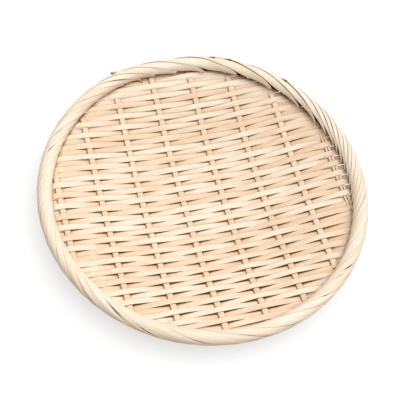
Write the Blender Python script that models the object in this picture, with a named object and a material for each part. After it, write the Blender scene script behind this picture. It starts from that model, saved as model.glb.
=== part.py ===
"""A zaru: a shallow round tray of split bamboo in plain weave, bound to its hoop by its own strip ends.

Metres, +Z up. The origin is the middle of the underside, where the tray rests on the low crossings
of its floor. Warps run along Y and lie smooth. Wefts run along X and pass over and under the warps
in turn. Every second weft carries on at both ends: it turns along the rim under the hoop, climbs
round the outside at a slant, and tucks in at the inner edge. The wefts between them stop under the
hoop, held by their neighbours. The middle warps close the two places that no weft end reaches.
"""

import math

import bmesh
import bpy
from mathutils import Vector

# Overall sizes
OUTER_RADIUS = 0.120
BOWL_DEPTH = 0.0135
FLOOR_RADIUS = 0.030

# Strips
WARP_COUNT = 8
WARP_WIDTH = 0.0043
WARP_THICKNESS = 0.0010
WARP_SHIFT = -0.0011
WEFT_COUNT = 51
WEFT_THICKNESS = 0.0007
END_ROOM_SHARE = 0.785
WRAPPING_STEP = 2
GAP = 0.0003

# Hoop inside the rim
HOOP_THICKNESS = 0.0092
HOOP_LAP = 0.060
HOOP_TIP = 0.0012
HOOP_STEPS = 64
HOOP_ARC_POINTS = 5

# How the strip ends lie on the rim
ENTRY_ANGLE = math.radians(-124)
TUCK_ANGLE = math.radians(195)
SIDE_SLANT = math.radians(24)
END_SLANT = math.radians(15)
WRAP_STEP = math.radians(27)
TURN_STEP = math.radians(30)
MARCH_STEP = math.radians(1)
TURN_RADIUS_SHARE = 0.8
TIP_WIDTH_SHARE = 0.35
TAPER_SHARE = 0.25
SETTLE_RUN = 0.003
TUCK_BACK = 0.0017
WARP_STATIONS = 10

# Shape of the bowl's wall: a rise that steepens, then levels out under the hoop
RISE_POWER = 1.55
LEVEL_POWER = 6
RISE_SHARE = LEVEL_POWER / (LEVEL_POWER - RISE_POWER)

WARP_COLOUR = (0.80, 0.62, 0.40, 1)
WEFT_COLOUR = (0.86, 0.70, 0.50, 1)
HOOP_COLOUR = (0.84, 0.70, 0.50, 1)
WARP_ROUGHNESS = 0.5
WEFT_ROUGHNESS = 0.45
HOOP_ROUGHNESS = 0.5
SHARP_ANGLE = math.radians(35)

# What follows from the sizes
STRAND_LIFT = HOOP_THICKNESS / 2 + GAP + WEFT_THICKNESS / 2
RIM_RADIUS = OUTER_RADIUS - STRAND_LIFT - WEFT_THICKNESS / 2
EDGE_RADIUS = RIM_RADIUS + STRAND_LIFT * math.cos(ENTRY_ANGLE)
WEFT_PITCH = 2 * EDGE_RADIUS / (WEFT_COUNT - 1 + 2 * END_ROOM_SHARE)
WEFT_WIDTH = WEFT_PITCH - GAP
EDGE_ROOM = WARP_WIDTH / 2 + SETTLE_RUN + WEFT_PITCH / 2
WARP_PITCH = 2 * (EDGE_RADIUS - EDGE_ROOM) / (WARP_COUNT - 1)
CROSSING_LIFT = WARP_THICKNESS / 2 + GAP + WEFT_THICKNESS / 2
FLOOR_HEIGHT = CROSSING_LIFT + WEFT_THICKNESS / 2
RIM_HEIGHT = FLOOR_HEIGHT + BOWL_DEPTH - STRAND_LIFT * math.sin(ENTRY_ANGLE)
TURN_RADIUS = TURN_RADIUS_SHARE * WEFT_WIDTH


def clear_scene():
    for obj in list(bpy.data.objects):
        bpy.data.objects.remove(obj, do_unlink=True)


def bamboo(name, colour, roughness):
    material = bpy.data.materials.new(name)
    material.use_nodes = True
    shader = material.node_tree.nodes["Principled BSDF"]
    shader.inputs["Base Color"].default_value = colour
    shader.inputs["Roughness"].default_value = roughness
    shader.inputs["Metallic"].default_value = 0
    material.diffuse_color = colour
    return material


def wall_share(radius):
    """How much of the bowl's depth the weave has climbed at this radius."""
    share = max(radius - FLOOR_RADIUS, 0) / (EDGE_RADIUS - FLOOR_RADIUS)
    return RISE_SHARE * share**RISE_POWER - (RISE_SHARE - 1) * share**LEVEL_POWER


def wall_slope(radius):
    span = EDGE_RADIUS - FLOOR_RADIUS
    share = max(radius - FLOOR_RADIUS, 0) / span
    rise = RISE_SHARE * RISE_POWER * share ** (RISE_POWER - 1)
    level = (RISE_SHARE - 1) * LEVEL_POWER * share ** (LEVEL_POWER - 1)
    return BOWL_DEPTH / span * (rise - level)


def weave_point(x, y, lift):
    """A point of the bowl's middle surface, moved up or down by lift, with the downward normal there."""
    radius = math.hypot(x, y)
    slope = wall_slope(radius)
    if radius > 0:
        down = Vector((slope * x / radius, slope * y / radius, -1)).normalized()
    else:
        down = Vector((0, 0, -1))
    point = Vector((x, y, FLOOR_HEIGHT + BOWL_DEPTH * wall_share(radius)))
    return point - down * lift, down


def rim_point(around, across):
    """A point of the strip layer on the rim, by its angle in plan and its angle round the hoop."""
    outward = Vector((math.cos(around), math.sin(around), 0))
    normal = outward * math.cos(across) + Vector((0, 0, math.sin(across)))
    centre = outward * RIM_RADIUS + Vector((0, 0, RIM_HEIGHT))
    return centre + normal * STRAND_LIFT, normal


def warp_place(warp):
    return (warp - (WARP_COUNT - 1) / 2) * WARP_PITCH + WARP_SHIFT


def weft_place(weft):
    return ((WEFT_COUNT - 1) / 2 - weft) * WEFT_PITCH


def reach(offset, edge=EDGE_RADIUS):
    """Half the length that a straight strip at this offset has inside the edge of the weave."""
    return math.sqrt(max(edge**2 - offset**2, 0))


def wraps(warp):
    """True for the middle warps, whose ends meet the hoop where no weft's end does."""
    return abs(warp_place(warp)) < reach(weft_place(0)) - WEFT_WIDTH


def below_hoop(warp, weft):
    """True where the hoop leaves no room for the weft above the warp."""
    outer_x = abs(warp_place(warp)) + WARP_WIDTH / 2
    outer_y = abs(weft_place(weft)) + WEFT_WIDTH / 2
    return math.hypot(outer_x, outer_y) > EDGE_RADIUS - GAP


def end_is_clear(warp, weft):
    """False where the slanting end of a weft that stops under the hoop would cut into its crossing."""
    corner = reach(abs(weft_place(weft)) + WEFT_WIDTH / 2, EDGE_RADIUS - TUCK_BACK)
    return weft % WRAPPING_STEP == 0 or corner > abs(warp_place(warp)) + WARP_WIDTH / 2 - GAP


def crosses(warp, weft):
    """True where the weft has room to go round the warp and settle before it meets the hoop."""
    room = reach(weft_place(weft)) - abs(warp_place(warp))
    if room < WARP_WIDTH / 2 + SETTLE_RUN or not end_is_clear(warp, weft):
        return False
    return wraps(warp) or not below_hoop(warp, weft)


def weft_is_under(warp, weft):
    return (warp + weft) % 2 == 0 or below_hoop(warp, weft)


class Strand:
    """The end of a strip on the rim: where it meets the hoop, and the slanting way round it."""

    def __init__(self, x, y, direction):
        around = math.atan2(y, x)
        outward = Vector((math.cos(around), math.sin(around)))
        clockwise = Vector((math.sin(around), -math.cos(around)))
        heading = math.atan2(direction.dot(outward), direction.dot(clockwise))
        self.order = around
        self.slant = SIDE_SLANT * math.cos(around) ** 2 + END_SLANT * math.sin(around) ** 2
        self.places = [(around, ENTRY_ANGLE, heading)]
        self.turn_along_rim()
        self.climb_to_tuck()

    def advance(self, length, heading):
        around, across, _ = self.places[-1]
        radius = RIM_RADIUS + STRAND_LIFT * math.cos(across)
        around -= length * math.cos(heading) / radius
        across += length * math.sin(heading) / STRAND_LIFT
        return around, across

    def turn_along_rim(self):
        """A bend in the strip's own plane, from the direction of the weave to the slant on the rim."""
        turn = self.slant - self.places[0][2]
        bends = round(abs(turn) / TURN_STEP)
        if not bends:
            return
        marches = max(1, round(abs(turn) / bends / MARCH_STEP))
        part = turn / bends / marches
        for _ in range(bends):
            start = self.places[-1]
            for _ in range(marches):
                heading = self.places[-1][2] + part
                around, across = self.advance(TURN_RADIUS * abs(part), heading - part / 2)
                self.places[-1] = (around, across, heading)
            self.places[-1:] = [start, self.places[-1]]

    def climb_to_tuck(self):
        """Round the outside and over the top at a steady slant."""
        climb = TUCK_ANGLE - self.places[-1][1]
        steps = max(1, round(climb / WRAP_STEP))
        marches = max(1, round(climb / steps / MARCH_STEP))
        length = climb * STRAND_LIFT / math.sin(self.slant) / steps / marches
        for _ in range(steps):
            start = self.places[-1]
            for _ in range(marches):
                around, across = self.advance(length, self.slant)
                self.places[-1] = (around, across, self.slant)
            self.places[-1:] = [start, self.places[-1]]

    def around_at(self, across):
        """The angle in plan at which the strand passes this angle round the hoop."""
        for (a0, c0, _), (a1, c1, _) in zip(self.places, self.places[1:]):
            if c0 <= across <= c1:
                return a0 + (a1 - a0) * (across - c0) / (c1 - c0)
        return self.places[-1][0]

    def room(self, other, across, heading):
        """The distance between the middles of two strands, square to the first one."""
        between = abs(self.around_at(across) - other.around_at(across))
        between = min(between, 2 * math.pi - between)
        return between * (RIM_RADIUS + STRAND_LIFT * math.cos(across)) * math.sin(heading)

    def stations(self, before, after, full_width):
        """The place, normal, width and skew at each step, as wide as the neighbours leave room for."""
        found = []
        for around, across, heading in self.places:
            room = min(self.room(before, across, heading), self.room(after, across, heading))
            width = min(full_width, room - GAP)
            left = (TUCK_ANGLE - across) / (TUCK_ANGLE - ENTRY_ANGLE)
            taper = TIP_WIDTH_SHARE + (1 - TIP_WIDTH_SHARE) * min(1, left / TAPER_SHARE)
            point, normal = rim_point(around, across)
            found.append((point, normal, width * taper, 0))
        return found


def strip(name, stations, thickness, material):
    """A closed strip of four-cornered section along its stations, each square to it but for its skew.

    The first corner of each face sets the diagonal that it folds on. Both broad faces fold on the same
    one, which keeps the strip's thickness where it twists.
    """
    mesh = bmesh.new()
    rings = []
    last = len(stations) - 1
    for index, (point, normal, width, skew) in enumerate(stations):
        along = (stations[min(index + 1, last)][0] - stations[max(index - 1, 0)][0]).normalized()
        side = normal.cross(along).normalized()
        out = along.cross(side)
        half = side * (width / 2) + along * skew
        face = out * (thickness / 2)
        corners = (point - half - face, point + half - face, point + half + face, point - half + face)
        rings.append([mesh.verts.new(corner) for corner in corners])
    for first, second in zip(rings, rings[1:]):
        for corner in range(4):
            following = (corner + 1) % 4
            face = [first[corner], first[following], second[following], second[corner]]
            start = corner // 2
            mesh.faces.new(face[start:] + face[:start])
    mesh.faces.new(rings[0][::-1])
    mesh.faces.new(rings[-1])
    return finish(name, mesh, material)


def finish(name, mesh, material):
    bmesh.ops.recalc_face_normals(mesh, faces=mesh.faces[:])
    data = bpy.data.meshes.new(name)
    mesh.to_mesh(data)
    mesh.free()
    data.shade_smooth()
    data.set_sharp_from_angle(angle=SHARP_ANGLE)
    data.materials.append(material)
    obj = bpy.data.objects.new(name, data)
    bpy.context.scene.collection.objects.link(obj)
    return obj


def lay_out_strands():
    """Every strip end that goes round the hoop, keyed by its strip and side."""
    strands = {}
    for weft in range(0, WEFT_COUNT, WRAPPING_STEP):
        y = weft_place(weft)
        for side in (-1, 1):
            strands["weft", weft, side] = Strand(side * reach(y), y, Vector((side, 0)))
    for warp in range(WARP_COUNT):
        x = warp_place(warp)
        if wraps(warp):
            for side in (-1, 1):
                strands["warp", warp, side] = Strand(x, side * reach(x), Vector((0, side)))
    return strands


def strand_stations(strands, key, full_width):
    """The stations of one strand, which needs to know the strands on both sides of it."""
    ordered = sorted(strands, key=lambda item: strands[item].order)
    at = ordered.index(key)
    before = strands[ordered[at - 1]]
    after = strands[ordered[(at + 1) % len(ordered)]]
    return strands[key].stations(before, after, full_width)


def weft_stations(weft, strands):
    y = weft_place(weft)
    middle = []
    for warp in range(WARP_COUNT):
        if crosses(warp, weft):
            lift = -CROSSING_LIFT if weft_is_under(warp, weft) else CROSSING_LIFT
            for side in (-1, 1):
                point, down = weave_point(warp_place(warp) + side * WARP_WIDTH / 2, y, lift)
                middle.append((point, down, WEFT_WIDTH, 0))
    if ("weft", weft, 1) in strands:
        left = strand_stations(strands, ("weft", weft, -1), WEFT_WIDTH)
        right = strand_stations(strands, ("weft", weft, 1), WEFT_WIDTH)
        return left[::-1] + middle + right
    return [tucked_end(y, -1)] + middle + [tucked_end(y, 1)]


def tucked_end(y, side):
    """The last station of a weft that stops under the hoop, cut along the line of the hoop."""
    outer = reach(abs(y) + WEFT_WIDTH / 2, EDGE_RADIUS - TUCK_BACK)
    inner = reach(abs(y) - WEFT_WIDTH / 2, EDGE_RADIUS - TUCK_BACK)
    point, down = weave_point(side * (outer + inner) / 2, y, 0)
    return point, down, WEFT_WIDTH, math.copysign((inner - outer) / 2, side * y)


def warp_stations(warp, strands):
    x = warp_place(warp)
    if wraps(warp):
        end = reach(x) - SETTLE_RUN
    else:
        end = max(weft_place(weft) for weft in range(WEFT_COUNT) if crosses(warp, weft)) + WEFT_PITCH / 2
    middle = []
    for step in range(-WARP_STATIONS, WARP_STATIONS + 1):
        y = end * math.sin(math.pi / 2 * step / WARP_STATIONS)
        middle.append(weave_point(x, y, 0) + (WARP_WIDTH, 0))
    if not wraps(warp):
        return middle
    bottom = strand_stations(strands, ("warp", warp, -1), WARP_WIDTH)
    top = strand_stations(strands, ("warp", warp, 1), WARP_WIDTH)
    return bottom[::-1] + middle + top


def hoop_section(low, high):
    """Half-round arcs of the hoop's section between two radial limits, measured from its middle."""
    half = HOOP_THICKNESS / 2
    least = math.pi / (2 * HOOP_ARC_POINTS)
    start = max(math.acos(max(-1, min(1, high / half))), least)
    end = min(math.acos(max(-1, min(1, low / half))), math.pi - least)
    angles = [start + (end - start) * i / (HOOP_ARC_POINTS - 1) for i in range(HOOP_ARC_POINTS)]
    upper = [(half * math.cos(a), half * math.sin(a)) for a in angles]
    return upper + [(x, -z) for x, z in reversed(upper)]


def hoop(material):
    """One split cane bent into a ring, its two ends cut to long slopes that lie against each other."""
    half = HOOP_THICKNESS / 2
    lap = HOOP_LAP / RIM_RADIUS
    rise = 2 * half - HOOP_TIP
    last = (2 * half - 2 * HOOP_TIP - GAP) / rise
    turn = 2 * math.pi + lap * last
    mesh = bmesh.new()
    rings = []
    for step in range(HOOP_STEPS + 1):
        angle = turn * step / HOOP_STEPS
        high = -half + HOOP_TIP + rise * angle / lap
        low = -half + HOOP_TIP + GAP + rise * (angle - 2 * math.pi) / lap
        outward = Vector((math.cos(angle), math.sin(angle), 0))
        rings.append(
            [
                mesh.verts.new(outward * (RIM_RADIUS + x) + Vector((0, 0, RIM_HEIGHT + z)))
                for x, z in hoop_section(max(low, -half), min(high, half))
            ]
        )
    for first, second in zip(rings, rings[1:]):
        for i in range(len(first)):
            j = (i + 1) % len(first)
            mesh.faces.new((first[i], first[j], second[j], second[i]))
    mesh.faces.new(rings[0][::-1])
    mesh.faces.new(rings[-1])
    return finish("rim_hoop", mesh, material)


def build():
    clear_scene()
    strands = lay_out_strands()
    warp_material = bamboo("bamboo_warp", WARP_COLOUR, WARP_ROUGHNESS)
    weft_material = bamboo("bamboo_weft", WEFT_COLOUR, WEFT_ROUGHNESS)
    hoop(bamboo("bamboo_hoop", HOOP_COLOUR, HOOP_ROUGHNESS))
    for warp in range(WARP_COUNT):
        strip(f"warp_{warp + 1:02d}", warp_stations(warp, strands), WARP_THICKNESS, warp_material)
    for weft in range(WEFT_COUNT):
        strip(f"weft_{weft + 1:02d}", weft_stations(weft, strands), WEFT_THICKNESS, weft_material)


build()
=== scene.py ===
"""The looks of a zaru: a shallow round tray of split bamboo in plain weave, bound by its own strip ends.

Metres, +Z up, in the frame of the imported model. Warps run along Y and wefts along X. Each strip is one
piece that stands for the solid of its name: a weft carries its two ends on the rim, split into splints.
On the rim a place is given by two angles, around the tray in plan and across the hoop's section, where
-90 degrees is the hoop's underside, 0 its outside, 90 its top and 180 its inside.
"""

import math

import bpy
import numpy as np
from mathutils import Matrix, Vector


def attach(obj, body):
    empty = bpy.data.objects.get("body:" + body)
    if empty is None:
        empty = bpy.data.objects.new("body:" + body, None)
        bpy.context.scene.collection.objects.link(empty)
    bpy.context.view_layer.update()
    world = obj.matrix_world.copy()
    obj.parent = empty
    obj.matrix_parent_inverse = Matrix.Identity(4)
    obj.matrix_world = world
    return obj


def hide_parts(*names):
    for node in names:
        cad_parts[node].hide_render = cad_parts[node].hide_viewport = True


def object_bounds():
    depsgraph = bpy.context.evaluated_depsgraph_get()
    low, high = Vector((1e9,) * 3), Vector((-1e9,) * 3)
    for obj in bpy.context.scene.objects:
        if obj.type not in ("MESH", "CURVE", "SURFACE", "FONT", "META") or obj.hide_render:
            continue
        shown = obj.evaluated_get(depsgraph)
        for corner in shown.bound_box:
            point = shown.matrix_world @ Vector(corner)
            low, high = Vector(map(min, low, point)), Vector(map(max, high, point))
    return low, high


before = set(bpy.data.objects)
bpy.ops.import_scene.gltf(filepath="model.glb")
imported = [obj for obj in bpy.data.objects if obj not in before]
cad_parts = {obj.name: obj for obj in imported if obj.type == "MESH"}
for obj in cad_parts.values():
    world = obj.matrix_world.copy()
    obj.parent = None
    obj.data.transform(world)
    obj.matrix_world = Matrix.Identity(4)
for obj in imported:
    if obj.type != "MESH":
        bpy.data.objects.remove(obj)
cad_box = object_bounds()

# Overall sizes
OUTER_RADIUS = 0.120
BOWL_DEPTH = 0.0135
FLOOR_RADIUS = 0.030

# Strips
WARP_COUNT = 8
WARP_WIDTH = 0.0043
WARP_THICKNESS = 0.0013
WEFT_COUNT = 51
WEFT_THICKNESS = 0.0007
END_ROOM_SHARE = 0.785
WRAPPING_STEP = 2
GAP = 0.0003
CROSSING_LIFT = 0.0011
FLOOR_HEIGHT = 0.0015

# How far each warp stands from its even place, so that the columns lie where the photograph has them
WARP_SHIFTS = (0.0021, 0.0016, 0.0012, 0.0013, 0.0016, 0.0013, 0.0008, -0.0015)

# Warps that are split along their length: the shares of their width at which their splints begin and end
SPLIT_WARPS = {7: (0, 0.42, 1)}
SPLIT_GAP = 0.0004

# Hoop inside the rim
CANE_THICKNESS = 0.0076
HOOP_LAP = 0.060
HOOP_TIP = 0.0012
HOOP_STEPS = 200
HOOP_CORNERS = 16

# How the strip ends lie on the rim
STRAND_LIFT = 0.00525
ENTRY_ANGLE = math.radians(-124)
TUCK_ANGLES = (math.radians(218), math.radians(198))
SIDE_SLANT = math.radians(24)
END_SLANT = math.radians(15)
TURN_RADIUS_SHARE = 0.8
SETTLE_RUN = 0.003
TUCK_VARIATION = math.radians(8)

# Shape of the bowl's wall
RISE_POWER = 1.55
LEVEL_POWER = 6
RISE_SHARE = LEVEL_POWER / (LEVEL_POWER - RISE_POWER)

# Fine shape of the woven strips
SLIT = 0.00006
WOVEN_THICKNESS = 0.00045
WEAVE_STEP = 0.0015
MARCH_STEP = math.radians(1)
SECTION_SHARES = (-0.9, -0.4, 0.4, 0.9)
SECTION_POWER = 5
WIDTH_VARIATION = 0.035
WIDTH_LENGTH = 0.08
SWAY = 0.00016
SWAY_LENGTH = 0.035
ROLL = math.radians(1.6)
LEANS = (math.radians(-2), math.radians(10))
LEVEL_VARIATION = 0.00008
BEND_SHARE = 0.2
END_LEVEL_SHARE = 0.6
SETTLING_STRETCH = 0.012
TUCK_SHORT = 0.0016
SHARP_ANGLE = math.radians(50)
DRIFT_WAVES = 3
DRIFT_STRETCHES = (0.6, 1.8)

# What follows from the sizes
RIM_RADIUS = OUTER_RADIUS - STRAND_LIFT - WEFT_THICKNESS / 2
EDGE_RADIUS = RIM_RADIUS + STRAND_LIFT * math.cos(ENTRY_ANGLE)
WEFT_PITCH = 2 * EDGE_RADIUS / (WEFT_COUNT - 1 + 2 * END_ROOM_SHARE)
WEFT_WIDTH = WEFT_PITCH - SLIT
EDGE_ROOM = WARP_WIDTH / 2 + SETTLE_RUN + WEFT_PITCH / 2
WARP_PITCH = 2 * (EDGE_RADIUS - EDGE_ROOM) / (WARP_COUNT - 1)
RIM_HEIGHT = FLOOR_HEIGHT + BOWL_DEPTH - STRAND_LIFT * math.sin(ENTRY_ANGLE)
TURN_RADIUS = TURN_RADIUS_SHARE * WEFT_WIDTH

# Splints on the rim
SPLINT_THICKNESS = 0.0005
SPLINT_STEP = math.radians(7)
SPLINT_LIFT = 0.0050
SPLINT_SHIFT = 0.08
WIDEST_STRAND = 0.0090
WIDENING_SHARE = 0.2
SKIRT_START = math.radians(138)
TIP_RISE_SPREAD = (0.6, 1.2)
TAPER_POWER = 1.4
BEND_LIMIT = 0.8
OPENING_VARIATION = 0.5
OPENING_LENGTH = 2.0

# Splints in pairs: where the rim is smooth, and where it looks like rope
TIP_WIDTH_SHARES = (0.5, 0.12)
SHINGLES = (0.00022, 0.0009)
FLATNESSES = (0.0, 0.35)
COVERS = (1.14, 0.93)
SKIRTS = (0.0, 0.20)
TIP_RISES = (0.0, 0.0019)
TAPER_SHARES = (0.10, 0.22)
OPENINGS = (0.00006, 0.00018)
EXTRA_SPLINTS = (0.1, 0.0)

# Where the rim looks like rope, and how its shingles, slits and the painted shade of its split edges fade
# from the top down to the outside
ROPE_MIDDLE = math.radians(46)
ROPE_POWER = 1.6
RIM_TOP = math.radians(95)
BARE_SIDE = math.radians(45)
BARE_EDGE = 0.88

# Slits in the rim: around, across, half length, opening
PARTINGS = (
    (math.radians(153), math.radians(81), 0.0040, 0.0007),
    (math.radians(145), math.radians(86), 0.0035, 0.0004),
    (math.radians(128), math.radians(95), 0.0030, 0.0003),
    (math.radians(112), math.radians(120), 0.0110, 0.0004),
    (math.radians(-16), math.radians(63), 0.0035, 0.0006),
    (math.radians(-46), math.radians(67), 0.0040, 0.0008),
    (math.radians(-60), math.radians(68), 0.0025, 0.0005),
    (math.radians(-51), math.radians(90), 0.0030, 0.0003),
    (math.radians(-36), math.radians(34), 0.0050, 0.0003),
    (math.radians(-85), math.radians(12), 0.0070, 0.0006),
    (math.radians(-91), math.radians(60), 0.0050, 0.0003),
    (math.radians(-107), math.radians(30), 0.0060, 0.0005),
    (math.radians(-136), math.radians(63), 0.0060, 0.0008),
    (math.radians(-62), math.radians(22), 0.0070, 0.0003),
    (math.radians(-76), math.radians(24), 0.0080, 0.0003),
    (math.radians(-124), math.radians(24), 0.0080, 0.0007),
    (math.radians(-145), math.radians(12), 0.0080, 0.0006),
    (math.radians(-154), math.radians(24), 0.0080, 0.0007),
    (math.radians(-164), math.radians(50), 0.0040, 0.0004),
)

# Where the rim lies inside its circle, and lower: around, spread, depth
SAGS = (
    (math.radians(90), math.radians(13), 0.0014),
    (math.radians(150), math.radians(28), 0.0006),
)
SAG_DROP_SHARE = 0.6

# Loose ends of splints: around, across, where they face, stand-off, length with its sense, width
LOOSE_ENDS = (
    (math.radians(112), math.radians(34), math.radians(80), 0.0014, -0.009, 0.0040),
    (math.radians(71), math.radians(60), math.radians(60), 0.0007, 0.012, 0.0030),
    (math.radians(65), math.radians(58), math.radians(58), 0.0007, 0.012, 0.0030),
    (math.radians(42), math.radians(62), math.radians(62), 0.0006, 0.012, 0.0030),
)
LOOSE_STEPS = 9
LOOSE_TAPER = 0.4
LOOSE_POWER = 3
LOOSE_BROWN_LENGTH = 0.004

# Colours of the bamboo. Each pair holds the pale and the tan streaks
WOVEN = ((0.93, 0.80, 0.64, 1), (0.84, 0.62, 0.43, 1))
ON_RIM = ((0.96, 0.85, 0.72, 1), (0.91, 0.76, 0.59, 1))
WARP = ((0.88, 0.72, 0.53, 1), (0.82, 0.62, 0.42, 1))
# The hoop's bamboo, painted dark brown as the shade in the gaps between the splints over it
SHADED_CANE = ((0.34, 0.20, 0.07, 1), (0.24, 0.13, 0.04, 1))
FIBRE = (0.62, 0.40, 0.20, 1)
# Painted shade on split side faces, darker on the rim; the first brown is also laid on cut ends
EDGE_SHADE_AND_CUT_BROWN = (0.50, 0.27, 0.07, 1)
RIM_EDGE_SHADE = (0.30, 0.17, 0.045, 1)
# Painted shade on the end of a loose splint, dark brown
LOOSE_END_SHADE = (0.14, 0.075, 0.02, 1)
# Painted shade in crevices, warm then deep brown, within the reach of the ambient occlusion
CREVICE_SHADE = (1.0, 0.68, 0.24, 1)
DEEP_SHADE = (0.28, 0.11, 0.006, 1)
CREVICE_REACH = 0.0040

# Grain of the bamboo: the length and width of its streaks, patches and fibres, and of the patches in the
# painted shade of split edges
STREAK_SIZE = (0.020, 0.0011)
PATCH_SIZE = (0.045, 0.009)
FIBRE_SIZE = (0.030, 0.00028)
EDGE_SHADE_PATCH_SIZE = (0.012, 0.004)
PLAIN_DETAIL = 1.0
STREAK_DETAIL = 3.0
FIBRE_DETAIL = 4.0
NOISE_ROUGHNESS = 0.6
GRAIN_SEEDS = 99

# What makes a place paler: random patches and tone, a painted highlight where a weft rides high, and
# painted shade towards +X, which makes it tanner; and the levels between which tan turns pale
PATCH_WEIGHT = 0.6
TONE_WEIGHT = 0.26
RIDE_HIGHLIGHT_WEIGHT = 0.05
RIGHT_SHADE_WEIGHT = -0.16
PALE_LEVELS = (0.74, 1.10)

# Where fibres, the painted shade of split edges, the brown of cut ends and the painted shade of a loose
# splint's end show, and how strongly
FIBRE_LEVELS = (0.54, 0.74)
FIBRE_STRENGTH = 0.32
EDGE_SHADE_PATCH_LEVELS = (0.40, 0.62)
EDGE_SHADE_STRENGTHS = (0.15, 0.85)
WOVEN_EDGE_START = 0.90
RIM_EDGE_START = 0.86
CUT_REACH = 0.0012
CUT_STRENGTH = 0.7
LOOSE_END_SHADE_STRENGTH = 0.9

# Painted shade: how closed in a place must be to be painted warm, then deep brown
CREVICE_LEVELS = (0.40, 0.78)
DEEP_SHADE_LEVELS = (0.36, 0.60)
RIM_DEEP_SHADE_SHARE = 0.6
CREVICE_SAMPLES = 6

# Sheen of the bamboo
SHEEN_LEVELS = (0.3, 0.7)
ROUGHNESSES = (0.40, 0.58)
BUMP_STRENGTH = 0.35
BUMP_DISTANCE = 0.00006
SPECULAR = 0.2

# The camera, placed by the photograph: its angles, its distance from the middle of the rim, its lens
IMAGE_SIDE = 400
VIEW_ELEVATION = math.radians(58.48)
VIEW_AZIMUTH = math.radians(-25.76)
VIEW_ROLL = math.radians(12.25)
VIEW_DISTANCE = 0.696
CLIP_START = 0.01
FOCAL_PIXELS = 966
MIDDLE_RIGHT_PIXELS = 4.76
MIDDLE_UP_PIXELS = 11.23
SENSOR = 36

# Light, and the floor with the shade under the tray
AMBIENT = 0.51
SUN_STRENGTH = 2.1
SUN_AZIMUTH = math.radians(8)
SUN_ELEVATION = math.radians(70)
SUN_SPREAD = math.radians(65)
SUN_COLOUR = (1, 0.98, 0.95)
WHITE = (1, 1, 1, 1)
FLOOR_SIDE = 6.0
FLOOR_WHITE = (0.38, 0.38, 0.38, 1)
FLOOR_GLOW = (0.66, 0.66, 0.66, 1)
FLOOR_BOUNCE = (0.34, 0.27, 0.17, 1)
FLOOR_SHADE = (0.19, 0.108, 0.036, 1)
FLOOR_SHADE_GLOW = (0.064, 0.036, 0.009, 1)
SHADE_EDGE = (0.098, 0.1145)

# Start of the random draws
SEED = 11


def between(ends, share):
    """The value that lies this share of the way from the first end to the second."""
    return ends[0] + (ends[1] - ends[0]) * share


def wall_share(radius):
    """How much of the bowl's depth the weave has climbed at this radius."""
    share = np.maximum(radius - FLOOR_RADIUS, 0) / (EDGE_RADIUS - FLOOR_RADIUS)
    return RISE_SHARE * share**RISE_POWER - (RISE_SHARE - 1) * share**LEVEL_POWER


def wall_slope(radius):
    """How steeply the weave climbs at this radius."""
    span = EDGE_RADIUS - FLOOR_RADIUS
    share = np.maximum(radius - FLOOR_RADIUS, 0) / span
    rise = RISE_SHARE * RISE_POWER * share ** (RISE_POWER - 1)
    level = (RISE_SHARE - 1) * LEVEL_POWER * share ** (LEVEL_POWER - 1)
    return BOWL_DEPTH / span * (rise - level)


def unit(vectors):
    return vectors / np.linalg.norm(vectors, axis=-1, keepdims=True)


def weave_points(x, y, lift):
    """Points of the bowl's middle surface, moved up by lift, with the downward normals there."""
    radius = np.hypot(x, y)
    slope = wall_slope(radius)
    safe = np.maximum(radius, GAP)
    down = unit(np.stack([slope * x / safe, slope * y / safe, -np.ones_like(radius)], -1))
    middle = np.stack([x, y, FLOOR_HEIGHT + BOWL_DEPTH * wall_share(radius)], -1)
    return middle - down * lift[..., None], down


def angle_apart(first, second):
    """The angle from the second to the first, the short way round."""
    return (first - second + math.pi) % (2 * math.pi) - math.pi


def rim_sag(around):
    """How far the rim lies inside its circle."""
    sag = 0
    for middle, spread, depth in SAGS:
        sag = sag + depth * np.exp(-((angle_apart(around, middle) / spread) ** 2))
    return sag


def rim_points(around, across, lift):
    """Points on the rim by their two angles and their distance from the hoop's middle."""
    sag = rim_sag(around)
    out = RIM_RADIUS - sag + lift * np.cos(across)
    up = RIM_HEIGHT - sag * SAG_DROP_SHARE + lift * np.sin(across)
    return np.stack([out * np.cos(around), out * np.sin(around), up], -1)


def warp_place(warp):
    """Where the warp lies along X."""
    return (warp - (WARP_COUNT - 1) / 2) * WARP_PITCH + WARP_SHIFTS[warp]


def weft_place(weft):
    """Where the weft lies along Y, from the far edge to the near one."""
    return ((WEFT_COUNT - 1) / 2 - weft) * WEFT_PITCH


def reach(offset, edge=EDGE_RADIUS):
    """Half the length that a straight strip at this offset has inside the edge of the weave."""
    return math.sqrt(max(edge**2 - offset**2, 0))


def wraps(warp):
    """True for the middle warps, whose ends meet the hoop where no weft's end does."""
    return abs(warp_place(warp)) < reach(weft_place(0)) - WEFT_WIDTH


def below_hoop(warp, weft):
    """True where the hoop leaves no room for the weft above the warp."""
    outer_x = abs(warp_place(warp)) + WARP_WIDTH / 2
    outer_y = abs(weft_place(weft)) + WEFT_WIDTH / 2
    return math.hypot(outer_x, outer_y) > EDGE_RADIUS - GAP


def crosses(warp, weft):
    """True where the weft has room to go round the warp and settle before it meets the hoop."""
    room = reach(weft_place(weft)) - abs(warp_place(warp))
    return room >= WARP_WIDTH / 2 + SETTLE_RUN and (wraps(warp) or not below_hoop(warp, weft))


def weft_is_under(warp, weft):
    """True at every second crossing, and wherever the hoop is too near."""
    return (warp + weft) % 2 == 0 or below_hoop(warp, weft)


def drift(places, length, size, random):
    """A smooth random change along a strip: a few waves of unlike length and phase."""
    waves = [(random.uniform(*DRIFT_STRETCHES), random.uniform(0, 2 * math.pi)) for _ in range(DRIFT_WAVES)]
    total = sum(np.sin(2 * math.pi * places / (length * stretch) + phase) for stretch, phase in waves)
    return size * total / len(waves)


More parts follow.
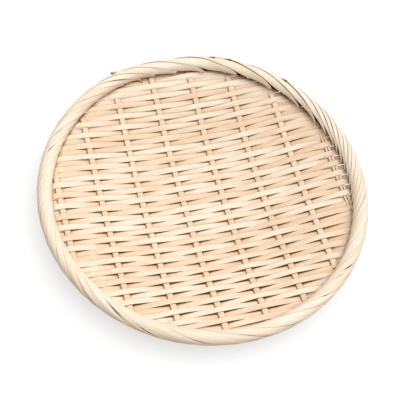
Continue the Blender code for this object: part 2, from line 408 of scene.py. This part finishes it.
class Bundle:
    """The mesh of one piece, gathered from swept strips, with what the materials need to know.

    The point attribute grain holds the place along the strip, the place across it and a seed. Finish
    holds the strip's tone, the share of the way to its edge, near which the material paints shade, and
    the distance to its cut end, which is below zero on the end of a loose splint that is painted dark
    brown as shade. Site holds 1 on the rim and 0 in the weave, how high the strip rides, from -1 to 1,
    which paints it paler as a highlight, and how much painted shade it takes towards +X.
    """

    def __init__(self):
        self.points = []
        self.faces = []
        self.values = {"grain": [], "finish": [], "site": []}
        self.count = 0

    def sweep(self, rings, places, offsets, edges, ends, random, on_rim=0.0, ride=0.0, right_shade=0.0):
        """Adds a closed body through rings of points: places run along it, offsets across it."""
        shape = rings.shape[:2]
        steps, corners = shape
        first = self.count + np.arange(steps - 1)[:, None] * corners
        here = np.arange(corners)
        after = (here + 1) % corners
        quads = np.stack([first + here, first + after, first + corners + after, first + corners + here], -1)
        self.faces += quads.reshape(-1, 4).tolist()
        self.faces.append((self.count + here[::-1]).tolist())
        self.faces.append((self.count + (steps - 1) * corners + here).tolist())
        self.points.append(rings.reshape(-1, 3))
        self.count += steps * corners
        tone = random.random()
        seed = random.uniform(0, GRAIN_SEEDS)
        columns = {
            "grain": (places[:, None], offsets, seed),
            "finish": (tone, edges, np.asarray(ends)[:, None]),
            "site": tuple(np.reshape(value, (-1, 1)) for value in (on_rim, ride, right_shade)),
        }
        for label, parts in columns.items():
            spread = [np.broadcast_to(part, shape) for part in parts]
            self.values[label].append(np.stack(spread, -1).reshape(-1, 3))

    def make(self, name, node, material):
        """Makes the piece that stands for the CAD node."""
        mesh = bpy.data.meshes.new(name)
        mesh.from_pydata(np.concatenate(self.points).tolist(), [], self.faces)
        for label, values in self.values.items():
            attribute = mesh.attributes.new(label, "FLOAT_VECTOR", "POINT")
            attribute.data.foreach_set("vector", np.concatenate(values).astype(np.float32).ravel())
        mesh.update()
        mesh.shade_smooth()
        mesh.set_sharp_from_angle(angle=SHARP_ANGLE)
        mesh.materials.append(material)
        piece = bpy.data.objects.new(name, mesh)
        bpy.context.scene.collection.objects.link(piece)
        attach(piece, "root")
        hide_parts(node)


def section():
    """The outline of a strip's section in shares of its half width and half thickness, once round."""
    wide = np.array(SECTION_SHARES)
    high = np.sqrt(1 - np.abs(wide) ** SECTION_POWER)
    across = np.concatenate([[-1], wide, [1], wide[::-1]])
    height = np.concatenate([[0], -high, [0], high[::-1]])
    return across, height


SECTION_ACROSS, SECTION_HEIGHT = section()
SECTION_EDGES = np.abs(SECTION_ACROSS)


def ring_offsets(low, high):
    """Offsets across the strip of each corner of its section, between its two edges."""
    return low[:, None] + (high - low)[:, None] * (SECTION_ACROSS + 1) / 2


def flat_rings(points, normals, low, high, thickness):
    """Rings of a strip that runs through the points, between two edges beside them."""
    along = unit(np.gradient(points, axis=0))
    side = unit(np.cross(normals, along))
    out = np.cross(along, side)
    offsets = ring_offsets(low, high)
    heights = SECTION_HEIGHT * thickness / 2
    rings = points[:, None] + side[:, None] * offsets[..., None] + out[:, None] * heights[:, None]
    return rings, offsets


def lengths(points):
    """How far along the line each of its points lies."""
    steps = np.linalg.norm(np.diff(points, axis=0), axis=1)
    return np.concatenate([[0], np.cumsum(steps)])


def ropiness(around):
    """1 where the rim looks like rope, between +X and +Y, and 0 away from it."""
    return max(0, math.cos(around - ROPE_MIDDLE)) ** ROPE_POWER


class Strand:
    """The end of a strip on the rim: where it meets the hoop, and the slanting way round it.

    Variation, from -1 to 1, makes it tuck in sooner or later than its neighbours.
    """

    def __init__(self, x, y, direction, variation):
        around = math.atan2(y, x)
        outward = Vector((math.cos(around), math.sin(around)))
        clockwise = Vector((math.sin(around), -math.cos(around)))
        heading = math.atan2(direction.dot(outward), direction.dot(clockwise))
        self.order = around
        self.tuck = between(TUCK_ANGLES, ropiness(around)) + variation * TUCK_VARIATION
        self.slant = SIDE_SLANT * math.cos(around) ** 2 + END_SLANT * math.sin(around) ** 2
        self.way = [(around, ENTRY_ANGLE, heading)]
        turns = max(1, round(abs(self.slant - heading) / MARCH_STEP))
        part = (self.slant - heading) / turns
        for _ in range(turns):
            self.advance(TURN_RADIUS * abs(part), part)
        while self.way[-1][1] < self.tuck:
            self.advance(MARCH_STEP * STRAND_LIFT / math.sin(self.slant), 0)
        self.way = np.array(self.way)

    def advance(self, length, turn):
        """Adds the place this length farther on, where the heading has changed by turn."""
        around, across, heading = self.way[-1]
        heading += turn
        radius = RIM_RADIUS + STRAND_LIFT * math.cos(across)
        around -= length * math.cos(heading - turn / 2) / radius
        across += length * math.sin(heading - turn / 2) / STRAND_LIFT
        self.way.append((around, across, heading))

    def around_at(self, across):
        """The angle in plan at which the strand passes this angle across the hoop."""
        return np.interp(across, self.way[:, 1], self.way[:, 0])

    def offset_of(self, around, across, heading):
        """How far a place on the rim lies beside the strand, positive toward its clockwise side."""
        apart = angle_apart(self.around_at(across), around)
        return apart * (RIM_RADIUS + STRAND_LIFT * np.cos(across)) * np.sin(heading)

    def room(self, other, across, heading):
        """The distance between the middles of two strands, square to the first one."""
        return np.abs(self.offset_of(other.around_at(across), across, heading))

    def stations(self):
        """The way in even steps, close together where the strand turns."""
        picked = [0]
        for index in range(1, len(self.way)):
            moved = np.abs(self.way[index] - self.way[picked[-1]])
            if moved[1] >= SPLINT_STEP or moved[2] >= 2 * SPLINT_STEP:
                picked.append(index)
        if picked[-1] != len(self.way) - 1:
            picked.append(len(self.way) - 1)
        return self.way[picked]


def lay_out_strands():
    """Every strip end that goes round the hoop, keyed by its strip and side."""
    strands = {}
    random = np.random.default_rng(SEED)
    for weft in range(0, WEFT_COUNT, WRAPPING_STEP):
        y = weft_place(weft)
        for side in (-1, 1):
            variation = random.uniform(-1, 1)
            strands["weft", weft, side] = Strand(side * reach(y), y, Vector((side, 0)), variation)
    for warp in range(WARP_COUNT):
        x = warp_place(warp)
        if wraps(warp):
            for side in (-1, 1):
                variation = random.uniform(-1, 1)
                strands["warp", warp, side] = Strand(x, side * reach(x), Vector((0, side)), variation)
    return strands


STRANDS = lay_out_strands()
ORDERED = sorted(STRANDS, key=lambda item: STRANDS[item].order)


def partings_in(strand, across, low, high):
    """The slits that fall inside a strand: share of its width, and the opening at each station."""
    found = []
    for place, level, half, opening in PARTINGS:
        offset = strand.offset_of(place, level, strand.slant)
        centre = level + offset * math.cos(strand.slant) / STRAND_LIFT
        index = np.argmin(np.abs(across - centre))
        share = (offset - low[index]) / (high[index] - low[index])
        if 0 < share < 1:
            run = (across - centre) * STRAND_LIFT / math.sin(strand.slant)
            found.append((share, opening * np.exp(-((run / half) ** 2))))
    return found


def splint_cuts(partings, across, rope, shown, random):
    """The cuts between the splints of a strand, its two edges included, in the form of its slits."""
    cuts = list(partings)
    extra = round(between(EXTRA_SPLINTS, rope) + random.uniform(-0.5, 0.5))
    for index in range(0 if cuts else extra):
        share = (index + 1) / (extra + 1) + random.uniform(-SPLINT_SHIFT, SPLINT_SHIFT)
        faint = OPENING_VARIATION + drift(across, OPENING_LENGTH, OPENING_VARIATION, random)
        cuts.append((share, between(OPENINGS, rope) * faint * shown))
    closed = 0 * across
    return [(0, closed)] + sorted(cuts, key=lambda cut: cut[0]) + [(1, closed)]


def add_strand(bundle, key, full_width, random):
    """The splints of one strip end, from the edge of the weave round the hoop to their tips."""
    strand = STRANDS[key]
    at = ORDERED.index(key)
    outer_neighbour = STRANDS[ORDERED[at - 1]]
    inner_neighbour = STRANDS[ORDERED[(at + 1) % len(ORDERED)]]
    around, across, heading = strand.stations().T
    rope = ropiness(strand.around_at(RIM_TOP))
    climbed = (across - ENTRY_ANGLE) / (strand.tuck - ENTRY_ANGLE)
    settled = np.clip(climbed / WIDENING_SHARE, 0, 1)
    shown = np.clip((across - BARE_SIDE) / (RIM_TOP - BARE_SIDE), 0, 1)
    nearing = np.clip(1 - (1 - climbed) / between(TAPER_SHARES, rope), 0, 1)
    widest = full_width + (WIDEST_STRAND - full_width) * settled
    taper = 1 - (1 - between(TIP_WIDTH_SHARES, rope)) * nearing**TAPER_POWER
    cover = between(COVERS, rope * shown)
    low = -np.minimum(strand.room(inner_neighbour, across, heading) * cover, widest) / 2
    high = np.minimum(strand.room(outer_neighbour, across, heading) * cover, widest) / 2
    cuts = splint_cuts(partings_in(strand, across, low, high), across, rope, shown, random)
    low = high - (high - low) * taper
    tilt = between(SHINGLES, rope * shown) * settled * taper
    skirt = between(SKIRTS, rope) * STRAND_LIFT * (1 / np.cos(np.maximum(across - SKIRT_START, 0)) - 1)
    rise = skirt + between(TIP_RISES, rope) * random.uniform(*TIP_RISE_SPREAD) * nearing**2
    # Painted shade of the split edges, fading out from the top down to the outside
    edges = SECTION_EDGES * (BARE_EDGE + (1 - BARE_EDGE) * shown[:, None])
    for (start, open_before), (end, open_after) in zip(cuts, cuts[1:]):
        part_low = low + (high - low) * start + open_before / 2
        part_high = low + (high - low) * end - open_after / 2
        offsets = ring_offsets(part_low, part_high)
        bend = np.clip(offsets * np.cos(heading)[:, None] / STRAND_LIFT, -BEND_LIMIT, BEND_LIMIT)
        flat = between(FLATNESSES, rope) * STRAND_LIFT * (1 / np.cos(bend) - 1) * settled[:, None]
        slope = -tilt[:, None] * offsets / (high - low)[:, None]
        level = random.uniform(-1, 1) * LEVEL_VARIATION * settled + rise
        lift = SPLINT_LIFT + level[:, None] + slope + flat + SECTION_HEIGHT * SPLINT_THICKNESS / 2
        radius = RIM_RADIUS + STRAND_LIFT * np.cos(across)
        ring_around = around[:, None] - offsets * np.sin(heading)[:, None] / radius[:, None]
        ring_across = across[:, None] - offsets * np.cos(heading)[:, None] / STRAND_LIFT
        rings = rim_points(ring_around, ring_across, lift)
        places = lengths(rings.mean(1))
        bundle.sweep(rings, places, offsets, edges, places[-1] - places, random, on_rim=settled)
    add_loose_ends(bundle, strand, low, high, across, random)


def add_loose_ends(bundle, strand, low, high, across, random):
    """Short splints that part from the strand and stand off the rim."""
    for place, level, facing, height, length, width in LOOSE_ENDS:
        offset = strand.offset_of(place, level, strand.slant)
        index = np.argmin(np.abs(across - level))
        if not low[index] < offset <= high[index]:
            continue
        steps = np.linspace(0, 1, LOOSE_STEPS)
        run = (steps - 1) * length
        way_around = place - run * math.cos(strand.slant) / RIM_RADIUS
        way_across = level + run * math.sin(strand.slant) / STRAND_LIFT
        lift = SPLINT_LIFT + SPLINT_THICKNESS / 2 + height * steps**LOOSE_POWER
        points = rim_points(way_around, way_across, lift)
        half = width / 2 * (1 - LOOSE_TAPER * steps)
        flat = math.cos(facing)
        normals = [flat * np.cos(way_around), flat * np.sin(way_around), math.sin(facing) + 0 * steps]
        rings, offsets = flat_rings(points, np.stack(normals, -1), -half, half, SPLINT_THICKNESS)
        places = lengths(points)
        ends = places[-1] - places - LOOSE_BROWN_LENGTH
        bundle.sweep(rings, places, offsets, SECTION_EDGES, ends, random, on_rim=1.0)


def weft_lift(weft, x):
    """How far the weft's middle is above the bowl's middle surface at each x.

    On the left a weft meets the hoop before it has settled, unless its free end there is long.
    """
    knots = []
    for warp in range(WARP_COUNT):
        if crosses(warp, weft):
            level = -CROSSING_LIFT if weft_is_under(warp, weft) else CROSSING_LIFT
            knots += [(warp_place(warp) + side * WARP_WIDTH / 2, level) for side in (-1, 1)]
    end = reach(weft_place(weft))
    first, level = knots[0]
    settled = [((first - end) / 2, 0)] if first + end > SETTLING_STRETCH else []
    knots = [(-end, level * END_LEVEL_SHARE)] + settled + knots + [(end, 0)]
    places, levels = np.array(knots).T
    at = np.clip(np.searchsorted(places, x) - 1, 0, len(places) - 2)
    share = np.clip((x - places[at]) / (places[at + 1] - places[at]), 0, 1)
    eased = (1 - np.cos(math.pi * share)) / 2
    return levels[at] + (levels[at + 1] - levels[at]) * (share + (eased - share) * BEND_SHARE)


def add_weft(bundle, weft, random):
    """The woven stretch of a weft, from under the hoop to under the hoop."""
    y = weft_place(weft)
    end = reach(y, RIM_RADIUS - TUCK_SHORT)
    x = np.linspace(-end, end, round(2 * end / WEAVE_STEP) + 1)
    settle = np.clip((end - np.abs(x)) / WEFT_PITCH, 0, 1)
    sway = drift(x, SWAY_LENGTH, SWAY, random) * settle
    ride = weft_lift(weft, x)
    lift = ride + drift(x, SWAY_LENGTH, LEVEL_VARIATION, random) * settle
    points, down = weave_points(x, y + sway, lift)
    lean = between(LEANS, (1 + y / EDGE_RADIUS) / 2)
    roll = (drift(x, SWAY_LENGTH, ROLL, random) + lean) * settle
    down = down + np.array([0, 1, 0]) * np.tan(roll)[:, None]
    change = random.uniform(-1, 1) * WIDTH_VARIATION + drift(x, WIDTH_LENGTH, WIDTH_VARIATION / 2, random)
    half = WEFT_WIDTH * (1 + change) / 2
    rings, offsets = flat_rings(points, down, -half, half, WOVEN_THICKNESS)
    # How high the weft rides is painted as a slight highlight on its raised parts
    height = ride / CROSSING_LIFT
    # Painted shade: the weft turns tanner towards +X
    right_shade_share = np.clip(x / EDGE_RADIUS, 0, 1) ** 2
    bundle.sweep(rings, x + end, offsets, SECTION_EDGES, end - np.abs(x), random, ride=height, right_shade=right_shade_share)


def add_warp(bundle, warp, random):
    """The smooth run of a warp under the whole width of the weave, or its splints where it is split."""
    x = warp_place(warp)
    end = reach(x) if wraps(warp) else reach(abs(x) + WARP_WIDTH / 2) - SETTLE_RUN / 2
    y = np.linspace(-end, end, round(end / WEAVE_STEP) + 1)
    sway = drift(y, 2 * SWAY_LENGTH, SWAY, random)
    points, down = weave_points(x + sway, y, np.zeros_like(y))
    cuts = SPLIT_WARPS.get(warp, (0, 1))
    for start, stop in zip(cuts, cuts[1:]):
        low = WARP_WIDTH * (start - 0.5) + (SPLIT_GAP if start > 0 else 0) + y * 0
        high = WARP_WIDTH * (stop - 0.5) + y * 0
        rings, offsets = flat_rings(points, down, low, high, WARP_THICKNESS)
        bundle.sweep(rings, y + end, offsets, SECTION_EDGES, end - np.abs(y), random)


def make_hoop(material):
    """One split cane bent into a ring, its two ends cut to long slopes that lie against each other."""
    half = CANE_THICKNESS / 2
    lap = HOOP_LAP / RIM_RADIUS
    rise = 2 * half - HOOP_TIP
    last = (2 * half - 2 * HOOP_TIP - GAP) / rise
    angle = np.linspace(0, 2 * math.pi + lap * last, HOOP_STEPS)
    high = np.minimum(-half + HOOP_TIP + rise * angle / lap, half)
    low = np.maximum(-half + HOOP_TIP + GAP + rise * (angle - 2 * math.pi) / lap, -half)
    turn = np.linspace(0, 2 * math.pi, HOOP_CORNERS, endpoint=False)
    middle = RIM_RADIUS - rim_sag(angle) + (high + low) / 2
    out = middle[:, None] + ((high - low) / 2)[:, None] * np.cos(turn)
    up = RIM_HEIGHT - SAG_DROP_SHARE * rim_sag(angle)[:, None] + half * np.sin(turn)
    rings = np.stack([out * np.cos(angle)[:, None], out * np.sin(angle)[:, None], up], -1)
    bundle = Bundle()
    along = angle * RIM_RADIUS
    bundle.sweep(rings, along, half * turn, 0 * turn, along, np.random.default_rng(SEED), on_rim=1.0)
    bundle.make("hoop_cane", "rim_hoop", material)


class Nodes:
    """A short way to write a material's nodes."""

    def __init__(self, tree):
        self.tree = tree

    def give(self, node, socket, value):
        """Links the node's input to another node's output, or sets it to a plain value."""
        if isinstance(value, bpy.types.NodeSocket):
            self.tree.links.new(value, node.inputs[socket])
        else:
            node.inputs[socket].default_value = value

    def add(self, kind, inputs=(), **settings):
        """A new node, with its inputs by their number or name."""
        node = self.tree.nodes.new(kind)
        for name, value in settings.items():
            setattr(node, name, value)
        for name, value in dict(inputs).items():
            self.give(node, name, value)
        return node

    def mix(self, factor, first, second, blend="MIX"):
        """A mix of two colours, which the node has on inputs 6 and 7 and gives on output 2."""
        inputs = {0: factor, 6: first, 7: second}
        return self.add("ShaderNodeMix", inputs, data_type="RGBA", blend_type=blend).outputs[2]

    def math(self, kind, *values):
        return self.add("ShaderNodeMath", dict(enumerate(values)), operation=kind).outputs[0]

    def ramp(self, value, low, high, start=0.0, end=1.0):
        """A smooth change from start to end while value goes from low to high."""
        inputs = {0: value, 1: low, 2: high, 3: start, 4: end}
        return self.add("ShaderNodeMapRange", inputs, interpolation_type="SMOOTHSTEP").outputs[0]

    def noise(self, vector, size, detail=PLAIN_DETAIL):
        """Noise drawn out along the strip: size holds the length and width of its features."""
        scale = (1 / size[0], 1 / size[1], 1)
        mapped = self.add("ShaderNodeVectorMath", {0: vector, 1: scale}, operation="MULTIPLY")
        inputs = {"Vector": mapped.outputs[0], "Scale": 1.0, "Detail": detail, "Roughness": NOISE_ROUGHNESS}
        return self.add("ShaderNodeTexNoise", inputs).outputs["Fac"]


def bamboo(name, woven, on_rim):
    """Split bamboo: long pale and tan streaks, fine fibres, darker split edges, and a satin sheen.

    It reads the point attributes that a Bundle writes. The darker split edges are painted shade, and it
    also paints shade in crevices and towards +X and a highlight where a weft rides high. One pair of
    colours is for the weave, one for the rim.
    """
    material = bpy.data.materials.new(name)
    material.use_nodes = True
    nodes = Nodes(material.node_tree)
    shader = material.node_tree.nodes["Principled BSDF"]
    read = {
        label: nodes.add("ShaderNodeAttribute", attribute_name=label).outputs["Vector"]
        for label in ("grain", "finish", "site")
    }
    grain = read["grain"]
    tone, edge, end = nodes.add("ShaderNodeSeparateXYZ", {0: read["finish"]}).outputs
    rim, ride, right_shade = nodes.add("ShaderNodeSeparateXYZ", {0: read["site"]}).outputs
    fibres = nodes.noise(grain, FIBRE_SIZE, FIBRE_DETAIL)
    patches = nodes.noise(grain, PATCH_SIZE)
    level = nodes.noise(grain, STREAK_SIZE, STREAK_DETAIL)
    weights = ((patches, PATCH_WEIGHT), (tone, TONE_WEIGHT), (ride, RIDE_HIGHLIGHT_WEIGHT), (right_shade, RIGHT_SHADE_WEIGHT))
    for value, weight in weights:
        level = nodes.math("MULTIPLY_ADD", value, weight, level)
    pale = nodes.mix(rim, woven[0], on_rim[0])
    tan = nodes.mix(rim, woven[1], on_rim[1])
    colour = nodes.mix(nodes.ramp(level, *PALE_LEVELS), tan, pale)
    colour = nodes.mix(nodes.ramp(fibres, *FIBRE_LEVELS, 0.0, FIBRE_STRENGTH), colour, FIBRE)
    edge_shade_patches = nodes.ramp(nodes.noise(grain, EDGE_SHADE_PATCH_SIZE), *EDGE_SHADE_PATCH_LEVELS, *EDGE_SHADE_STRENGTHS)
    # Painted shade on split side faces, in patches along them
    edge_shade = nodes.ramp(edge, nodes.ramp(rim, 0.0, 1.0, WOVEN_EDGE_START, RIM_EDGE_START), 1.0)
    edge_shade_colour = nodes.mix(rim, EDGE_SHADE_AND_CUT_BROWN, RIM_EDGE_SHADE)
    colour = nodes.mix(nodes.math("MULTIPLY", edge_shade, edge_shade_patches), colour, edge_shade_colour)
    # Cut ends darkened to the same brown near their end
    colour = nodes.mix(nodes.ramp(end, 0.0, CUT_REACH, CUT_STRENGTH, 0.0), colour, EDGE_SHADE_AND_CUT_BROWN)
    # Painted shade: the loose splint's end dark brown
    loose_end_shade = nodes.ramp(end, -LOOSE_BROWN_LENGTH, 0.0, LOOSE_END_SHADE_STRENGTH, 0.0)
    colour = nodes.mix(loose_end_shade, colour, LOOSE_END_SHADE)
    # Painted shade: ambient occlusion darkens crevices warm, the deepest deep brown, less on the rim
    near = nodes.add("ShaderNodeAmbientOcclusion", {"Distance": CREVICE_REACH}, samples=CREVICE_SAMPLES)
    openness = near.outputs["AO"]
    colour = nodes.mix(nodes.ramp(openness, *CREVICE_LEVELS, 1.0, 0.0), colour, CREVICE_SHADE, "MULTIPLY")
    deep = nodes.ramp(openness, *DEEP_SHADE_LEVELS, 1.0, 0.0)
    deep = nodes.math("MULTIPLY", deep, nodes.ramp(rim, 0.0, 1.0, 1.0, RIM_DEEP_SHADE_SHARE))
    colour = nodes.mix(deep, colour, DEEP_SHADE, "MULTIPLY")
    nodes.give(shader, "Base Color", colour)
    nodes.give(shader, "Roughness", nodes.ramp(fibres, *SHEEN_LEVELS, *ROUGHNESSES))
    bump = {"Strength": BUMP_STRENGTH, "Distance": BUMP_DISTANCE, "Height": fibres}
    nodes.give(shader, "Normal", nodes.add("ShaderNodeBump", bump).outputs[0])
    nodes.give(shader, "Specular IOR Level", SPECULAR)
    return material


def add_wraps(bundle, kind, index, width, random):
    """Both ends of the strip where they go round the hoop."""
    for side in (-1, 1):
        if (kind, index, side) in STRANDS:
            add_strand(bundle, (kind, index, side), width, random)


def make_basket():
    weft_material = bamboo("weft_bamboo", WOVEN, ON_RIM)
    warp_material = bamboo("warp_bamboo", WARP, ON_RIM)
    # The hoop's bamboo is painted dark brown as shade
    make_hoop(bamboo("hoop_shaded_bamboo", SHADED_CANE, SHADED_CANE))
    random = np.random.default_rng(SEED)
    for warp in range(WARP_COUNT):
        bundle = Bundle()
        add_warp(bundle, warp, random)
        add_wraps(bundle, "warp", warp, WARP_WIDTH, random)
        bundle.make(f"warp_strip_{warp + 1:02d}", f"warp_{warp + 1:02d}", warp_material)
    for weft in range(WEFT_COUNT):
        bundle = Bundle()
        add_weft(bundle, weft, random)
        add_wraps(bundle, "weft", weft, WEFT_WIDTH, random)
        bundle.make(f"weft_strip_{weft + 1:02d}", f"weft_{weft + 1:02d}", weft_material)


def make_camera():
    flat = math.cos(VIEW_ELEVATION)
    back = Vector((math.sin(VIEW_AZIMUTH) * flat, -math.cos(VIEW_AZIMUTH) * flat, math.sin(VIEW_ELEVATION)))
    level = Vector((math.cos(VIEW_AZIMUTH), math.sin(VIEW_AZIMUTH), 0))
    up = back.cross(level)
    right = level * math.cos(VIEW_ROLL) + up * math.sin(VIEW_ROLL)
    up = back.cross(right)
    data = bpy.data.cameras.new("camera")
    data.sensor_width = SENSOR
    data.lens = SENSOR * FOCAL_PIXELS / IMAGE_SIDE
    data.shift_x = -MIDDLE_RIGHT_PIXELS / IMAGE_SIDE
    data.shift_y = -MIDDLE_UP_PIXELS / IMAGE_SIDE
    data.clip_start = CLIP_START
    camera = bpy.data.objects.new("camera", data)
    turn = Matrix((right, up, back)).transposed()
    place = Vector((0, 0, RIM_HEIGHT)) + back * VIEW_DISTANCE
    camera.matrix_world = Matrix.Translation(place) @ turn.to_4x4()
    bpy.context.scene.collection.objects.link(camera)
    bpy.context.scene.camera = camera


def seen_directly(nodes):
    """1 for rays that show a thing: from the camera, or by reflection or transmission."""
    path = nodes.add("ShaderNodeLightPath").outputs
    shown = nodes.math("MAXIMUM", path["Is Camera Ray"], path["Is Glossy Ray"])
    return nodes.math("MAXIMUM", shown, path["Is Transmission Ray"])


def make_floor():
    bpy.ops.mesh.primitive_plane_add(size=FLOOR_SIDE, location=(0, 0, cad_box[0].z))
    floor = bpy.context.object
    floor.name = "floor"
    material = bpy.data.materials.new("floor_paper")
    material.use_nodes = True
    nodes = Nodes(material.node_tree)
    shader = material.node_tree.nodes["Principled BSDF"]
    place = nodes.add("ShaderNodeNewGeometry").outputs["Position"]
    radius = nodes.add("ShaderNodeVectorMath", {0: place}, operation="LENGTH").outputs["Value"]
    clear = nodes.ramp(radius, *SHADE_EDGE)
    seen = seen_directly(nodes)
    open_floor = nodes.mix(seen, FLOOR_BOUNCE, FLOOR_WHITE)
    nodes.give(shader, "Base Color", nodes.mix(clear, FLOOR_SHADE, open_floor))
    nodes.give(shader, "Emission Color", nodes.mix(clear, FLOOR_SHADE_GLOW, FLOOR_GLOW))
    nodes.give(shader, "Emission Strength", seen)
    nodes.give(shader, "Roughness", 1.0)
    nodes.give(shader, "Specular IOR Level", 0.0)
    floor.data.materials.append(material)


def make_light():
    world = bpy.data.worlds.new("studio")
    world.use_nodes = True
    bpy.context.scene.world = world
    nodes = Nodes(world.node_tree)
    background = world.node_tree.nodes["Background"]
    nodes.give(background, "Color", WHITE)
    nodes.give(background, "Strength", nodes.ramp(seen_directly(nodes), 0.0, 1.0, AMBIENT, 1.0))
    data = bpy.data.lights.new("key", "SUN")
    data.energy = SUN_STRENGTH
    data.angle = SUN_SPREAD
    data.color = SUN_COLOUR
    sun = bpy.data.objects.new("key", data)
    flat = math.cos(SUN_ELEVATION)
    toward = Vector((math.cos(SUN_AZIMUTH) * flat, math.sin(SUN_AZIMUTH) * flat, math.sin(SUN_ELEVATION)))
    sun.rotation_mode = "QUATERNION"
    sun.rotation_quaternion = toward.to_track_quat("Z", "Y")
    bpy.context.scene.collection.objects.link(sun)
    bpy.context.scene.view_settings.view_transform = "Standard"


make_camera()
make_basket()
make_floor()
make_light()
